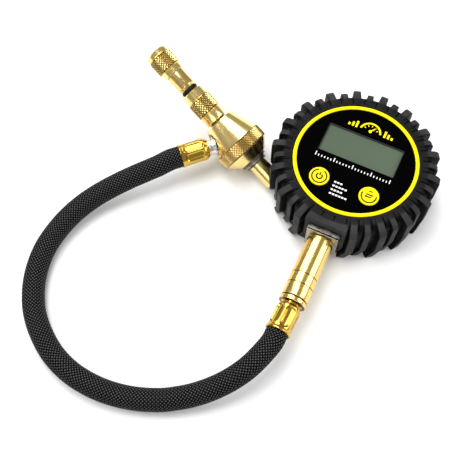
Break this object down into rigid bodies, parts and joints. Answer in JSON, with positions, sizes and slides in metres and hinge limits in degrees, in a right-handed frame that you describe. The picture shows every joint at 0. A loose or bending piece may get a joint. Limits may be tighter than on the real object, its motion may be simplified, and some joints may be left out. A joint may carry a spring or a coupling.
{
  "type": "tyre deflator with digital pressure gauge",
  "caption": "Hand tyre deflator: round digital gauge in a tread-shaped rubber boot, brass swivel stem, braided hose in a loop and a brass valve-core remover head",
  "frame": {"origin": "Centre of the rubber boot's flat back, on the surface the tool lies on", "axes": "+Z out of the gauge's face, +Y towards the top of the display so the stem leaves along -Y, +X to the display's right, away from the deflator head"},
  "size_m": [0.2059, 0.2391, 0.0519],
  "materials": {
    "rubber": "matt moulded rubber",
    "black_plastic": "satin black plastic",
    "yellow_plastic": "bright yellow plastic",
    "lcd_glass": "grey-green liquid crystal display",
    "white_plastic": "milky diffuser",
    "board_green": "green circuit board",
    "battery_wrap": "plain printed wrap",
    "brass": "polished machined brass",
    "nickel": "bright nickel plate",
    "steel": "plain steel",
    "dark_steel": "blackened steel",
    "seal_rubber": "smooth black rubber",
    "braid": "woven black braid"
  },
  "bodies": {
    "gauge": {"rubber_boot": "rubber", "case_shell": "black_plastic", "battery_door": "black_plastic", "case_screw_1": "steel", "case_screw_2": "steel", "case_screw_3": "steel", "case_screw_4": "steel", "front_housing": "black_plastic", "face_label": "black_plastic", "face_ring": "yellow_plastic", "lcd_window": "lcd_glass", "lcd_panel": "lcd_glass", "backlight_panel": "white_plastic", "zebra_strip": "seal_rubber", "circuit_board": "board_green", "power_switch": "black_plastic", "units_switch": "black_plastic", "battery_1": "battery_wrap", "battery_2": "battery_wrap", "battery_tray": "black_plastic", "battery_contact_left": "nickel", "battery_contact_right": "nickel", "stem_socket": "nickel", "pressure_sensor": "steel", "hose_tail": "brass", "stem_ferrule": "brass", "hose": "braid", "head_ferrule": "brass", "hose_neck": "nickel", "slide_collar": "brass", "gland_nut": "dark_steel", "gland_washer": "nickel", "retaining_ring": "dark_steel"},
    "stem": {"stem_tube": "brass"},
    "tube_carriage": {"inner_seal": "seal_rubber", "vent_seal": "seal_rubber"},
    "valve_body": {"valve_tube": "brass", "gland_seal": "seal_rubber", "valve_gasket": "seal_rubber"},
    "rod_carriage": {"rod_seal": "seal_rubber"},
    "core_rod": {"core_rod": "brass", "core_socket": "steel", "pull_knob": "brass"},
    "power_button": {"power_button": "yellow_plastic"},
    "units_button": {"units_button": "yellow_plastic"}
  },
  "joints": [
    {"name": "stem_swivel", "type": "hinge", "parent": "gauge", "child": "stem", "pos_m": [0, -0.07, 0.01675], "axis": [0, -1, 0], "continuous": true},
    {"name": "tube_slide", "type": "slide", "parent": "gauge", "child": "tube_carriage", "axis": [-0.8854, 0.286, 0.3665], "range_m": [0, 0.0055]},
    {"name": "tube_spin", "type": "hinge", "parent": "tube_carriage", "child": "valve_body", "pos_m": [-0.0693, -0.0116, 0.01672], "axis": [-0.8854, 0.286, 0.3665], "continuous": true},
    {"name": "rod_pull", "type": "slide", "parent": "valve_body", "child": "rod_carriage", "axis": [-0.8854, 0.286, 0.3665], "range_m": [0, 0.03]},
    {"name": "rod_turn", "type": "hinge", "parent": "rod_carriage", "child": "core_rod", "pos_m": [-0.0693, -0.0116, 0.01672], "axis": [-0.8854, 0.286, 0.3665], "continuous": true},
    {"name": "power_press", "type": "slide", "parent": "gauge", "child": "power_button", "axis": [0, 0, -1], "range_m": [0, 0.0006], "stiffness_N_per_m": 1000},
    {"name": "units_press", "type": "slide", "parent": "gauge", "child": "units_button", "axis": [0, 0, -1], "range_m": [0, 0.0006], "stiffness_N_per_m": 1000}
  ]
}
